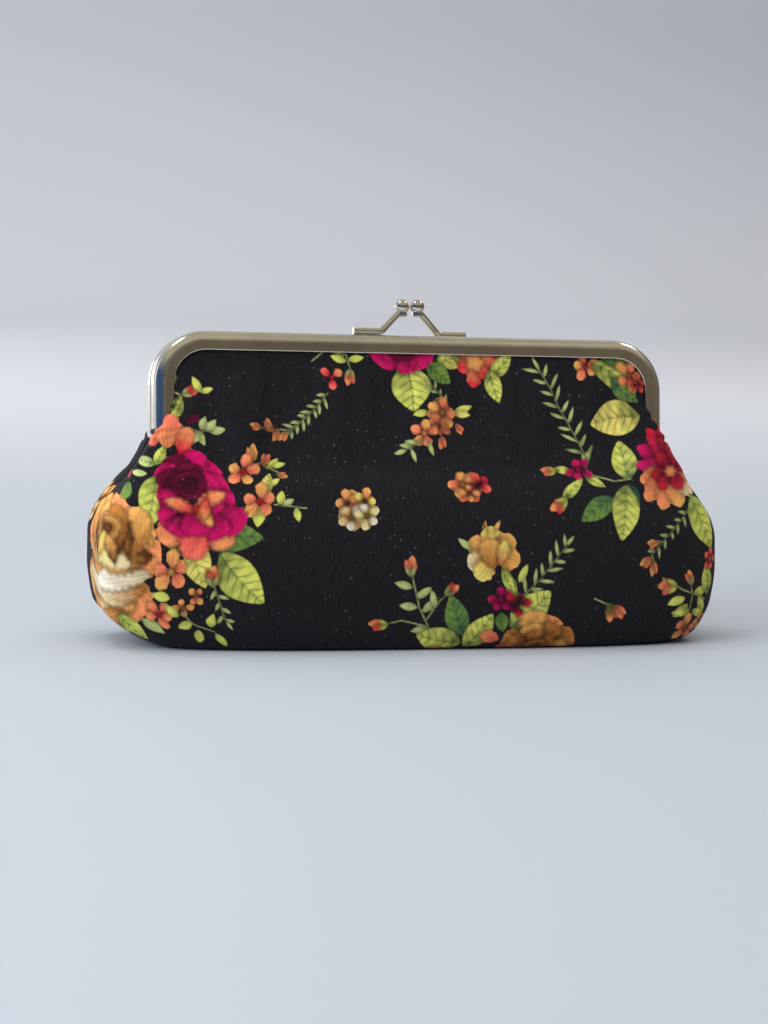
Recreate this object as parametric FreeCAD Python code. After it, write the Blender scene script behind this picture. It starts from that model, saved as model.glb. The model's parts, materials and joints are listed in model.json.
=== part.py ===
"""Kiss-lock coin purse: two hinged U-shaped metal frame halves that hold a boxed cloth bag.

Millimetres: +X along the frame to the right as seen from the front, +Y to the back, +Z up.
The origin is the centre of the flat base, on the surface that the purse stands on.
The frame halves are drawn upright about the hinge axis, then leaned back as the purse stands.
Front pieces are drawn once, and the back half's are the same turned half a turn.
"""

import FreeCAD, Part
import math
import os

from FreeCAD import Vector

# Frame halves, each bent from one plated steel strip into a channel that opens into the U.
FRAME_WIDTH = 150.0  # over the two legs
FRAME_HEIGHT = 32.0  # hinge axis to the top of the bar
CORNER_RADIUS = 14.6  # outside of the bend between bar and leg
CHANNEL_FACE = 5.5  # width of the front face, outer edge to lip
HALF_DEPTH = 6.0  # one half, front to back
PARTING_GAP = 0.2  # between the two halves when shut
STRIP = 0.7  # thickness of the steel
FACE_ROUND = 3.0  # rounding of the outer front edge
BACK_ROUND = 1.0  # rounding of the outer edge at the parting plane
LEG_END = 4.8  # height of the channel's lower end above the hinge axis

# How the purse stands.
HINGE_Y = 4.0
HINGE_Z = 53.5
LEAN = 10.0  # degrees, top towards the back

# Hinge ears and rivets.
EAR_RADIUS = 3.6
EAR_SHEET = 0.7
EAR_GAP = 0.1  # between the overlapping ears, and under each rivet head
EAR_LAP = 4.0  # how far the inner ear runs up inside its channel
PIN_RADIUS = 1.0
PIN_CLEARANCE = 0.05
HEAD_RADIUS = 2.1
HEAD_HEIGHT = 0.9

# Ball clasp: one bent wire with a ball on each half.
WIRE_RADIUS = 0.95
BALL_RADIUS = 2.1
BALL_OFFSET = 2.14  # ball centre from the middle of the bar
BALL_CROSS = 0.3  # how far each ball stands past the parting plane
BALL_RISE = 8.5  # ball centre above the bar
COLLAR_RADIUS = 1.45
COLLAR_HEIGHT = 1.7
FOOT_GAP = 0.05  # solder line between the foot and the bar
FOOT_START = 17.6
FOOT_END = 9.4
FOOT_DEPTH = 3.0  # foot's centre from the parting plane
NECK_X = 3.9
NECK_Y = -0.2
NECK_RISE = 6.0
WIRE_BEND = 2.1

# Cloth layers, from the outside in.
OUTER = 0.5
WADDING = 1.2
LINING = 0.4
LAYERS = (("outer", 0.0, OUTER), ("wadding", OUTER, WADDING), ("lining", OUTER + WADDING, LINING))

# Cloth above the hinge, held in the channels.
CLOTH_IN_CHANNEL = 2.6  # from the channel's outer edge to the cloth's edge
CLOTH_DEPTH = 5.3  # outer face from the parting plane, inside the channel
CLOTH_BULGE = 4.5  # how far the middle stands proud of that at the hinge
BULGE_FLAT = 58.0  # half the width of the bulge's flat
BULGE_EDGE = 69.0  # half the width where it enters the leg channels
TWINE_RADIUS = 1.1
TWINE_DEPTH = 2.05  # twine's centre from the parting plane
TWINE_INSET = 2.7  # twine's centre from the channel's outer edge

# Bag below the hinge: height, half width and half depth of each level, about the leaning middle plane.
BAG_LEVELS = (
    (0.0, 77.5, 17.5),
    (3.0, 83.0, 20.5),
    (8.0, 87.0, 22.0),
    (16.0, 89.5, 22.5),
    (27.0, 90.0, 21.5),
    (35.0, 89.0, 19.5),
    (42.0, 85.5, 17.0),
    (49.0, 80.0, 13.6),
)
CORNER_SHARE = 0.8  # corner radius of a level, as a share of its half depth
SEAM_Y = 3.0  # where the seam between the front and back panels crosses the base
HINGE_NOTCH = 10.0  # radius kept clear of the hinge at the top of each side
NOTCH_START = 66.0  # half width where that clearance begins

X_AXIS = Vector(1, 0, 0)
Y_AXIS = Vector(0, 1, 0)
Z_AXIS = Vector(0, 0, 1)
ORIGIN = Vector(0, 0, 0)
FRONT, BACK = -1, 1
HALVES = (("front", FRONT), ("back", BACK))
GAP_HALF = PARTING_GAP / 2
HALF_WIDTH = FRAME_WIDTH / 2


def mirrored_back(shape):
    """The same shape for the back half: turned half a turn about the upright axis."""
    turned = shape.copy()
    turned.rotate(ORIGIN, Z_AXIS, 180)
    return turned


def leaned(shape):
    """From the upright hinge frame to where the purse's upper part stands."""
    placed = shape.copy()
    placed.rotate(ORIGIN, X_AXIS, -LEAN)
    placed.translate(Vector(0, HINGE_Y, HINGE_Z))
    return placed


def arc(start, middle, end):
    return Part.Arc(start, middle, end).toShape()


def line(start, end):
    return Part.makeLine(start, end)


def on_circle(centre, radius, degrees):
    """A point of the channel section: x is the radius from the bend's centre, y the depth."""
    turn = math.radians(degrees)
    return centre + Vector(radius * math.cos(turn), -radius * math.sin(turn), 0)


def channel_section():
    """The strip's section on the front half, at the bar's outer edge x = CORNER_RADIUS.

    The channel opens towards smaller x. The front face is at the lowest y.
    """
    edge = CORNER_RADIUS
    lip = edge - CHANNEL_FACE
    back = -GAP_HALF
    front = -GAP_HALF - HALF_DEPTH
    turn_front = Vector(edge - FACE_ROUND, front + FACE_ROUND, 0)
    turn_back = Vector(edge - BACK_ROUND, back - BACK_ROUND, 0)
    inner_front = FACE_ROUND - STRIP
    inner_back = BACK_ROUND - STRIP
    lip_round = STRIP / 2
    lip_centre = Vector(lip + lip_round, front + lip_round, 0)
    foot_centre = Vector(lip + lip_round, back - lip_round, 0)
    points = [
        Vector(lip + lip_round, front, 0),
        Vector(edge - FACE_ROUND, front, 0),
        Vector(edge, front + FACE_ROUND, 0),
        Vector(edge, back - BACK_ROUND, 0),
        Vector(edge - BACK_ROUND, back, 0),
        Vector(lip + lip_round, back, 0),
        Vector(lip + lip_round, back - STRIP, 0),
        Vector(edge - BACK_ROUND, back - STRIP, 0),
        Vector(edge - STRIP, back - BACK_ROUND, 0),
        Vector(edge - STRIP, front + FACE_ROUND, 0),
        Vector(edge - FACE_ROUND, front + STRIP, 0),
        Vector(lip + lip_round, front + STRIP, 0),
    ]
    edges = [
        line(points[0], points[1]),
        arc(points[1], on_circle(turn_front, FACE_ROUND, 45), points[2]),
        line(points[2], points[3]),
        arc(points[3], on_circle(turn_back, BACK_ROUND, -45), points[4]),
        line(points[4], points[5]),
        arc(points[5], foot_centre - Vector(lip_round, 0, 0), points[6]),
        line(points[6], points[7]),
        arc(points[7], on_circle(turn_back, inner_back, -45), points[8]),
        line(points[8], points[9]),
        arc(points[9], on_circle(turn_front, inner_front, 45), points[10]),
        line(points[10], points[11]),
        arc(points[11], lip_centre - Vector(lip_round, 0, 0), points[0]),
    ]
    return Part.Face(Part.Wire(edges))


def twine_section():
    centre = Vector(CORNER_RADIUS - TWINE_INSET, -TWINE_DEPTH, 0)
    return Part.Face(Part.Wire(Part.makeCircle(TWINE_RADIUS, centre, Z_AXIS)))


def swept_u(section, leg_end):
    """The section carried down one leg, round both corners and along the bar, as one solid."""
    corner_x = HALF_WIDTH - CORNER_RADIUS
    corner_z = FRAME_HEIGHT - CORNER_RADIUS
    leg_length = corner_z - leg_end
    leg = section.extrude(Vector(0, 0, -leg_length))
    bend = section.revolve(ORIGIN, Y_AXIS, -90)
    right = leg.fuse(bend)
    right.translate(Vector(corner_x, 0, corner_z))
    left = right.mirror(ORIGIN, X_AXIS)
    upright = section.copy()
    upright.rotate(ORIGIN, Y_AXIS, -90)
    bar = upright.extrude(Vector(2 * corner_x, 0, 0))
    bar.translate(Vector(-corner_x, 0, corner_z))
    joined = right.fuse([bar, left])
    return joined.removeSplitter()


def ear(side, outer_x, inner_x):
    """A hinge ear at one leg's end: a disc round the axis and a tab up to the channel."""
    thick = outer_x - inner_x
    disc = Part.makeCylinder(EAR_RADIUS, thick, Vector(inner_x, 0, 0), X_AXIS)
    front = -GAP_HALF - HALF_DEPTH + FACE_ROUND / 2
    tab_outline = [
        Vector(inner_x, -EAR_RADIUS, 0),
        Vector(inner_x, front, LEG_END),
        Vector(inner_x, front, LEG_END + 0.1),
        Vector(inner_x, -2 * GAP_HALF, LEG_END + 0.1),
        Vector(inner_x, -2 * GAP_HALF, 0),
        Vector(inner_x, -EAR_RADIUS, 0),
    ]
    tab = Part.Face(Part.makePolygon(tab_outline)).extrude(Vector(thick, 0, 0))
    shape = disc.fuse(tab)
    if outer_x < HALF_WIDTH - STRIP:
        lap_width = HALF_DEPTH - FACE_ROUND
        lap = Part.makeBox(
            HALF_WIDTH - STRIP / 2 - inner_x,
            lap_width,
            EAR_LAP,
            Vector(inner_x, -GAP_HALF - BACK_ROUND - lap_width, LEG_END),
        )
        shape = shape.fuse(lap)
    hole = Part.makeCylinder(
        PIN_RADIUS + PIN_CLEARANCE, thick + 2, Vector(inner_x - 1, 0, 0), X_AXIS
    )
    shape = shape.cut(hole)
    return shape if side > 0 else shape.mirror(ORIGIN, X_AXIS)


def frame_half(half):
    """One U-shaped channel with its two ears. The back half's ears lap outside the front's."""
    outer_x = HALF_WIDTH if half == BACK else HALF_WIDTH - EAR_SHEET - EAR_GAP
    ears = [ear(side, outer_x, outer_x - EAR_SHEET) for side in (-1, 1)]
    shape = swept_u(channel_section(), LEG_END).fuse(ears).removeSplitter()
    return mirrored_back(shape) if half == BACK else shape


def rivet(side):
    """A rivet through both ears: a flat inner head, the pin and a domed outer head."""
    inner = HALF_WIDTH - 2 * EAR_SHEET - 2 * EAR_GAP
    outer = HALF_WIDTH + EAR_GAP
    pin = Part.makeCylinder(PIN_RADIUS, outer - inner, Vector(inner, 0, 0), X_AXIS)
    inner_head = Part.makeCylinder(
        HEAD_RADIUS, HEAD_HEIGHT, Vector(inner - HEAD_HEIGHT, 0, 0), X_AXIS
    )
    dome_radius = (HEAD_RADIUS**2 + HEAD_HEIGHT**2) / (2 * HEAD_HEIGHT)
    dome = Part.makeSphere(dome_radius, Vector(outer + HEAD_HEIGHT - dome_radius, 0, 0))
    cap = Part.makeCylinder(HEAD_RADIUS, HEAD_HEIGHT, Vector(outer, 0, 0), X_AXIS)
    shape = pin.fuse([inner_head, dome.common(cap)]).removeSplitter()
    return shape if side > 0 else shape.mirror(ORIGIN, X_AXIS)


def rounded_path(points, radius):
    """A wire of straight runs joined by tangent arcs."""
    edges = []
    start = points[0]
    for before, corner, after in zip(points, points[1:], points[2:]):
        into = (corner - before).normalize()
        out = (after - corner).normalize()
        half_turn = into.getAngle(out) / 2
        reach = radius * math.tan(half_turn)
        begin = corner - into * reach
        end = corner + out * reach
        inward = (out - into).normalize()
        centre = corner + inward * (radius / math.cos(half_turn))
        edges.append(line(start, begin))
        edges.append(arc(begin, centre - inward * radius, end))
        start = end
    edges.append(line(start, points[-1]))
    return Part.Wire(edges)


def clasp_ball():
    """The front half's ball, cast in one with its collar."""
    centre = Vector(-BALL_OFFSET, BALL_CROSS, FRAME_HEIGHT + BALL_RISE)
    ball = Part.makeSphere(BALL_RADIUS, centre)
    collar_base = centre - Z_AXIS * (BALL_RADIUS + COLLAR_HEIGHT / 2)
    collar = Part.makeCylinder(COLLAR_RADIUS, COLLAR_HEIGHT, collar_base, Z_AXIS)
    rims = [edge for edge in collar.Edges if edge.isClosed()]
    collar = collar.makeFillet(COLLAR_HEIGHT / 4, rims)
    return ball.fuse(collar).removeSplitter()


def clasp_arm(ball):
    """The front half's bent wire, soldered along the bar and ending in the ball's collar."""
    foot_z = FRAME_HEIGHT + WIRE_RADIUS + FOOT_GAP
    points = [
        Vector(-FOOT_START, -FOOT_DEPTH, foot_z),
        Vector(-FOOT_END, -FOOT_DEPTH, foot_z),
        Vector(-NECK_X, NECK_Y, FRAME_HEIGHT + NECK_RISE),
        Vector(-BALL_OFFSET, BALL_CROSS, FRAME_HEIGHT + BALL_RISE - BALL_RADIUS / 2),
    ]
    path = rounded_path(points, WIRE_BEND)
    ring = Part.Wire(Part.makeCircle(WIRE_RADIUS, points[0], X_AXIS))
    wire = path.makePipeShell([ring], True, True)
    return wire.cut(ball)


def cloth_row(height, bulge, inset, thick):
    """The closed outline of one cloth layer at a height above the hinge, front half."""
    edge = HALF_WIDTH - CLOTH_IN_CHANNEL
    outside = [
        (-edge, 0.0),
        (-BULGE_EDGE, 0.0),
        (-BULGE_FLAT, bulge),
        (BULGE_FLAT, bulge),
        (BULGE_EDGE, 0.0),
        (edge, 0.0),
    ]
    face = CLOTH_DEPTH - inset
    points = [Vector(x, -face - out, height) for x, out in outside]
    points += [Vector(x, -face - out + thick, height) for x, out in reversed(outside)]
    return Part.makePolygon(points + points[:1])


def window_prism():
    """The outline of the cloth above the hinge, as a tall block through both halves."""
    edge = HALF_WIDTH - CLOTH_IN_CHANNEL
    top = FRAME_HEIGHT - CLOTH_IN_CHANNEL
    radius = CORNER_RADIUS - CLOTH_IN_CHANNEL
    depth = 4 * HALF_DEPTH
    block = Part.makeBox(2 * edge, 2 * depth, 2 * top, Vector(-edge, -depth, -top))
    top_corners = []
    for corner in block.Edges:
        middle = corner.CenterOfMass
        if middle.z > top - 0.01 and abs(middle.x) > edge - 0.01:
            top_corners.append(corner)
    return block.makeFillet(radius, top_corners)


def upper_cloth(inset, thick):
    """One cloth layer above the hinge on the front half."""
    lip_z = FRAME_HEIGHT - CHANNEL_FACE
    rows = [
        cloth_row(0.0, CLOTH_BULGE, inset, thick),
        cloth_row(lip_z, 0.02, inset, thick),
        cloth_row(FRAME_HEIGHT - CLOTH_IN_CHANNEL + 1, 0.02, inset, thick),
    ]
    return Part.makeLoft(rows, True, True).common(window_prism())


def level_wire(height, half_width, half_depth):
    """A level of the bag: a rectangle with large round corners."""
    middle_y = HINGE_Y * height / HINGE_Z
    radius = CORNER_SHARE * half_depth
    flat_x = half_width - radius
    flat_y = half_depth - radius
    diagonal = radius * math.sqrt(0.5)
    edges = []
    corners = ((1, -1), (1, 1), (-1, 1), (-1, -1))
    ends = []
    for sx, sy in corners:
        centre = Vector(sx * flat_x, middle_y + sy * flat_y, height)
        along_y = centre + Vector(0, sy * radius, 0)
        along_x = centre + Vector(sx * radius, 0, 0)
        middle = centre + Vector(sx * diagonal, sy * diagonal, 0)
        first, last = (along_y, along_x) if sx * sy < 0 else (along_x, along_y)
        ends.append((first, middle, last))
    for (first, middle, last), (following, _, _) in zip(ends, ends[1:] + ends[:1]):
        edges.append(arc(first, middle, last))
        edges.append(line(last, following))
    return Part.Wire(edges)


def bag_body(inset):
    """The solid inside the bag's outer face, pulled in by inset on the sides and the base."""
    wires = []
    for height, half_width, half_depth in BAG_LEVELS:
        lifted = max(height, inset)
        wires.append(level_wire(lifted, half_width - inset, half_depth - inset))
    return Part.makeLoft(wires, True, False)


def side_notches():
    """Clearance round each hinge, so that the ears and legs swing free of the bag."""
    cuts = []
    for side in (-1, 1):
        start = NOTCH_START if side > 0 else -FRAME_WIDTH
        cuts.append(
            Part.makeCylinder(
                HINGE_NOTCH,
                FRAME_WIDTH - NOTCH_START,
                Vector(start, HINGE_Y, HINGE_Z),
                X_AXIS,
            )
        )
    return cuts


def panel_side(half):
    """A large block on one panel's side of the seam, which runs from the base to the hinges."""
    size = 2 * FRAME_WIDTH
    near_y = 0 if half == BACK else -size
    block = Part.makeBox(size, size, size, Vector(-size / 2, near_y, -size / 2))
    block.rotate(ORIGIN, X_AXIS, -math.degrees(math.atan2(HINGE_Y - SEAM_Y, HINGE_Z)))
    block.translate(Vector(0, SEAM_Y, 0))
    return block


def lower_cloth(inset, thick):
    """One cloth layer of the bag below the hinge, all round."""
    shell = bag_body(inset).cut(bag_body(inset + thick))
    return shell.cut(side_notches())


def build():
    """Every node's shape, by name."""
    parts = {}
    window = {}
    for name, inset, thick in LAYERS:
        window[name] = upper_cloth(inset, thick)
        whole = lower_cloth(inset, thick)
        for label, half in HALVES:
            parts[f"{name}_{label}_lower"] = whole.common(panel_side(half))
    ball = clasp_ball()
    arm = clasp_arm(ball)
    twine = swept_u(twine_section(), LEG_END)
    for label, half in HALVES:
        turn = mirrored_back if half == BACK else (lambda shape: shape)
        parts[f"{label}_frame"] = leaned(frame_half(half))
        parts[f"{label}_clasp_ball"] = leaned(turn(ball))
        parts[f"{label}_clasp_arm"] = leaned(turn(arm))
        parts[f"{label}_channel_twine"] = leaned(turn(twine))
        for name, shape in window.items():
            parts[f"{name}_{label}_upper"] = leaned(turn(shape))
    parts["left_hinge_rivet"] = leaned(rivet(-1))
    parts["right_hinge_rivet"] = leaned(rivet(1))
    return parts


def main():
    os.makedirs("parts", exist_ok=True)
    for name, shape in build().items():
        solids = len(shape.Solids)
        box = shape.BoundBox
        print(
            f"{name}: {solids} solid(s), valid {shape.isValid()}, {shape.Volume:.1f} mm3, "
            f"x {box.XMin:.1f}..{box.XMax:.1f} y {box.YMin:.1f}..{box.YMax:.1f} "
            f"z {box.ZMin:.1f}..{box.ZMax:.1f}"
        )
        shape.exportStep(f"parts/{name}.step")


main()
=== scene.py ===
"""Looks of the cloth coin purse: printed panels, lining, wadding, plated frame, camera and light.

Blender works in metres. The cloth's own functions work in millimetres, from the frame's dimensions
and its hinge axis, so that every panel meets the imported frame.
"""

import json
import math

import bpy
import numpy as np
from mathutils import Matrix, Vector


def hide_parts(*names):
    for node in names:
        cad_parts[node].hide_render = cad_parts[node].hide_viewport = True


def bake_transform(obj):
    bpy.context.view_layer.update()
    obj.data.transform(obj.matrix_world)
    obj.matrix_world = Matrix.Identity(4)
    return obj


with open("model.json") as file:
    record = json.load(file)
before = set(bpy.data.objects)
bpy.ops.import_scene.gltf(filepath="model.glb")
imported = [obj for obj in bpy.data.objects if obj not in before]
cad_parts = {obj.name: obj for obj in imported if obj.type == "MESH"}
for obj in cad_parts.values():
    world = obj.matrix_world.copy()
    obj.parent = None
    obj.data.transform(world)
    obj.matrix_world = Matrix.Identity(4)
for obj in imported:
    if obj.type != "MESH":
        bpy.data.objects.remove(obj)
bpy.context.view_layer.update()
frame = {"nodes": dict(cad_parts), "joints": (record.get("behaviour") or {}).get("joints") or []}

MM = 0.001

# ---------------------------------------------------------------- camera

CAMERA_PLACE = (-224.2, -694.8, 138.4)
CAMERA_YAW = -17.27
CAMERA_PITCH = -8.0
CAMERA_ROLL = 2.65
CAMERA_LENS = 91.6


def add_camera():
    """A long lens, to the left of the purse's front and a little above it, slightly tilted."""
    data = bpy.data.cameras.new("camera")
    data.lens = CAMERA_LENS
    data.clip_end = 20
    camera = bpy.data.objects.new("camera", data)
    bpy.context.scene.collection.objects.link(camera)
    turn = Matrix.Rotation(math.radians(CAMERA_YAW), 4, "Z")
    tip = Matrix.Rotation(math.radians(90 + CAMERA_PITCH), 4, "X")
    roll = Matrix.Rotation(math.radians(CAMERA_ROLL), 4, "Z")
    camera.matrix_world = Matrix.Translation(Vector(CAMERA_PLACE) * MM) @ turn @ tip @ roll
    bpy.context.scene.camera = camera


# ---------------------------------------------------------------- shape of the cloth

hinge = next(joint for joint in frame["joints"] if joint["name"] == "front_frame_hinge")
HINGE_Y = hinge["pos_m"][1] / MM
HINGE_Z = hinge["pos_m"][2] / MM
LEAN = math.radians(10)
HALF_WIDTH = 75.0
FRAME_TOP = 32.0
CORNER_RADIUS = 14.6
CHANNEL_FACE = 5.5
CLOTH_INSET = 2.6
CHANNEL_DEPTH = 5.3
SEAM_Y = 3.0
SEAM_SWAY = 3.0
FRONT, BACK = -1, 1

# Heights above the hinge axis of the levels where the panel's edge lies in the frame's channel,
# with the depth of the cloth's face from the parting plane.
CHANNEL_LEVELS = ((29.4, 5.3), (28.4, 5.3), (26.9, 5.35), (24.3, 5.8), (21.0, 6.4), (17.0, 7.2))
# Levels where the cloth swells over the legs and hinges: height above the hinge axis, depth of the
# face, half width and depth of the widest point, half width and depth of the panel's edge.
SWELL_LEVELS = (
    (13.5, 8.0, 69.3, 5.9, 71.0, 5.3),
    (10.5, 8.8, 70.6, 7.2, 69.4, 6.2),
    (7.0, 9.7, 73.0, 7.6, 69.3, 6.5),
    (4.5, 10.4, 74.6, 7.4, 73.0, 6.4),
    (2.0, 11.1, 76.0, 6.6, 75.7, 1.6),
    (-1.0, 12.0, 77.6, 6.2, 76.8, 0.8),
    (-4.8, 13.2, 80.0, 6.2, 78.4, 0.2),
)
# Levels of the bag: height above the floor, depth of the face and half width, depth of the widest
# point, and half width of the side seam.
BAG_LEVELS = (
    (45.0, 17.2, 82.6, 6.2, 81.5),
    (41.0, 18.8, 85.8, 6.0, 85.2),
    (36.0, 20.4, 89.2, 5.8, 88.9),
    (30.0, 21.6, 90.8, 5.6, 90.6),
    (22.0, 22.3, 90.8, 5.5, 90.7),
    (14.0, 22.2, 89.8, 5.5, 89.7),
    (8.0, 21.4, 88.0, 5.5, 87.9),
    (4.0, 20.3, 85.8, 5.5, 85.7),
    (1.6, 19.0, 83.0, 5.5, 82.9),
    (0.5, 17.4, 80.6, 5.0, 80.5),
    (0.15, 15.0, 78.8, 4.8, 78.7),
    (0.1, 10.0, 77.8, 4.0, 77.7),
    (0.1, 3.5, 77.5, 3.2, 77.5),
)
LEFT_TUCK = 0.09  # how much the left end is drawn in at the floor
TUCK_HEIGHT = 10.5
BOXY = 3.0  # how square the panel's plan is: 2 is an ellipse
PLAN_POINTS = 160
# Depths below the printed cloth's face of the wadding's two sides and, under it, the lining's. All
# thin out over the last millimetres before a panel's edge, and the wadding stops short of it.
WADDING = (0.75, 1.6)
LINING = (1.75, 2.15)
THINNING = 9.0
WADDING_MARGIN = 0.06  # share of the panel's width left without wadding at each edge

# The cloth simulation.
SIM_COLUMNS, SIM_ROWS, SIM_FRAMES = 32, 52, 26
SIM_SCALE = 10  # the cloth is settled at ten times its size
ROOM = 0.02  # how much larger the panel is cut than its rest shape
SLACK_LIMIT = 1.3  # the furthest that any point may settle
GLUED_TOP = 7.5  # cloth hidden in the channel under the bar, from the bar's top
GLUED_SIDE = 6.0  # cloth hidden in the channel beside each leg
FADE_TOP, FADE_SIDE, FADE_FLOOR = 9.0, 16.0, 12.0  # over these lengths the slack dies out


def outline(height, inset):
    """Half width, at a height above the hinge, of the line that runs inset inside the frame's edge."""
    radius = CORNER_RADIUS - inset
    rise = max(0.0, height - (FRAME_TOP - CORNER_RADIUS))
    return HALF_WIDTH - CORNER_RADIUS + math.sqrt(max(0.0, radius**2 - rise**2))


def monotone(knots, values, at):
    """Smooth interpolation without overshoot, along the first axis of values."""
    knots = np.asarray(knots, float)
    values = np.asarray(values, float)
    steps = np.diff(knots)
    slopes = np.diff(values, axis=0) / steps[:, None]
    tangents = np.zeros_like(values)
    before, after = slopes[:-1], slopes[1:]
    wide = (2 * steps[1:] + steps[:-1])[:, None]
    narrow = (steps[1:] + 2 * steps[:-1])[:, None]
    with np.errstate(divide="ignore", invalid="ignore"):
        mean = (wide + narrow) / (wide / before + narrow / after)
    tangents[1:-1] = np.where(before * after > 0, mean, 0.0)
    tangents[0] = slopes[0]
    tangents[-1] = slopes[-1]
    spans = np.clip(np.searchsorted(knots, at, side="right") - 1, 0, len(knots) - 2)
    length = steps[spans][:, None]
    t = (at - knots[spans])[:, None] / length
    return (
        values[spans] * (2 * t**3 - 3 * t**2 + 1)
        + values[spans + 1] * (3 * t**2 - 2 * t**3)
        + tangents[spans] * length * (t**3 - 2 * t**2 + t)
        + tangents[spans + 1] * length * (t**3 - t**2)
    )


def half_plan(depth, wide, wide_depth, edge, edge_depth, fractions):
    """x, depth and run of half a level: a flat face, a round side, and the turn back to the edge."""
    angles = np.linspace(0, math.pi / 2, PLAN_POINTS)
    x = wide * np.sin(angles) ** (2 / BOXY)
    y = wide_depth + (depth - wide_depth) * np.cos(angles) ** (2 / BOXY)
    turn_x = edge + (wide - edge) * np.cos(angles)
    turn_y = wide_depth + (edge_depth - wide_depth) * np.sin(angles)
    x = np.concatenate([x, turn_x[1:]])
    y = np.concatenate([y, turn_y[1:]])
    run = np.concatenate([[0], np.cumsum(np.hypot(np.diff(x), np.diff(y)))])
    at = fractions * run[-1]
    return np.stack([np.interp(at, run, x), np.interp(at, run, y), at], axis=1)


def leaned(x, depth, height, side):
    """A point of the frame's upright drawing, leaned back about the hinge axis."""
    y = side * depth
    world_y = HINGE_Y + y * math.cos(LEAN) + height * math.sin(LEAN)
    world_z = HINGE_Z - y * math.sin(LEAN) + height * math.cos(LEAN)
    return np.stack([x, world_y, world_z], axis=1)


def panel_levels(side, fractions):
    """Each level of a panel as points and run, one half row per level, from the bar to the base seam."""
    levels = []
    for height, depth in CHANNEL_LEVELS:
        edge = outline(height, CLOTH_INSET)
        lip = outline(height, CHANNEL_FACE) - 0.3 if height < FRAME_TOP - CHANNEL_FACE else edge - 1
        plan = half_plan(depth, lip, CHANNEL_DEPTH, edge, CHANNEL_DEPTH, fractions)
        levels.append((leaned(plan[:, 0], plan[:, 1], height, side), plan[:, 2]))
    for height, depth, wide, wide_depth, edge, edge_depth in SWELL_LEVELS:
        plan = half_plan(depth, wide, wide_depth, edge, edge_depth, fractions)
        levels.append((leaned(plan[:, 0], plan[:, 1], height, side), plan[:, 2]))
    for height, depth, wide, wide_depth, edge in BAG_LEVELS:
        rise = height / HINGE_Z
        seam_depth = side * (SEAM_Y * (1 - rise) + SEAM_SWAY * math.sin(math.pi * rise) ** 2)
        plan = half_plan(depth, wide, wide_depth, edge, seam_depth, fractions)
        middle = HINGE_Y * height / HINGE_Z
        z = np.full(len(plan), height)
        levels.append((np.stack([plan[:, 0], middle + side * plan[:, 1], z], axis=1), plan[:, 2]))
    return levels


def panel_grid(side, columns, rows):
    """Points and flat cloth coordinates of a panel, as arrays of rows by columns."""
    levels = panel_levels(side, np.linspace(0, 1, columns))
    points = np.array([level[0] for level in levels])
    runs = np.array([level[1] for level in levels])
    drops = np.linalg.norm(np.diff(points[:, 0], axis=0), axis=1)
    down = FRAME_TOP - CHANNEL_LEVELS[0][0] + np.concatenate([[0], np.cumsum(drops)])
    at = np.linspace(down[0], down[-1], rows)
    flat = np.concatenate([points.reshape(len(levels), -1), runs], axis=1)
    dense = monotone(down, flat, at)
    half = dense[:, : 3 * columns].reshape(rows, columns, 3)
    run = dense[:, 3 * columns :]
    mirrored = half[:, :0:-1] * np.array([-1, 1, 1])
    low = np.clip(1 - mirrored[..., 2] / TUCK_HEIGHT, 0, 1)
    mirrored[..., 0] *= 1 - LEFT_TUCK * low**1.3
    grid = np.concatenate([mirrored, half], axis=1)
    across = np.concatenate([-run[:, :0:-1], run], axis=1)
    return grid, across, np.repeat(at[:, None], grid.shape[1], axis=1)


# ---------------------------------------------------------------- meshes


def grid_faces(rows, columns, flip):
    index = np.arange(rows * columns).reshape(rows, columns)
    quads = np.stack([index[:-1, :-1], index[1:, :-1], index[1:, 1:], index[:-1, 1:]], axis=-1)
    quads = quads.reshape(-1, 4)
    return quads[:, ::-1] if flip else quads


def new_mesh(name, points, faces):
    mesh = bpy.data.meshes.new(name)
    mesh.from_pydata([tuple(point) for point in points * MM], [], [tuple(face) for face in faces])
    mesh.polygons.foreach_set("use_smooth", np.ones(len(mesh.polygons), bool))
    mesh.update()
    piece = bpy.data.objects.new(name, mesh)
    bpy.context.scene.collection.objects.link(piece)
    return piece


def set_attribute(piece, name, kind, values):
    attribute = piece.data.attributes.new(name, kind, "POINT")
    field = {"FLOAT": "value", "FLOAT_COLOR": "color", "FLOAT_VECTOR": "vector"}[kind]
    attribute.data.foreach_set(field, np.ascontiguousarray(values, np.float32).ravel())


def pinned(points, across, down):
    """Where a panel is glued in the channel or sewn along a seam."""
    gap = across.max(axis=1, keepdims=True) - np.abs(across)
    glued = (points[..., 2] > HINGE_Z - 2) & (gap < GLUED_SIDE)
    return glued | (down < GLUED_TOP) | (gap < 1) | (down > down.max() - 3)


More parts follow.
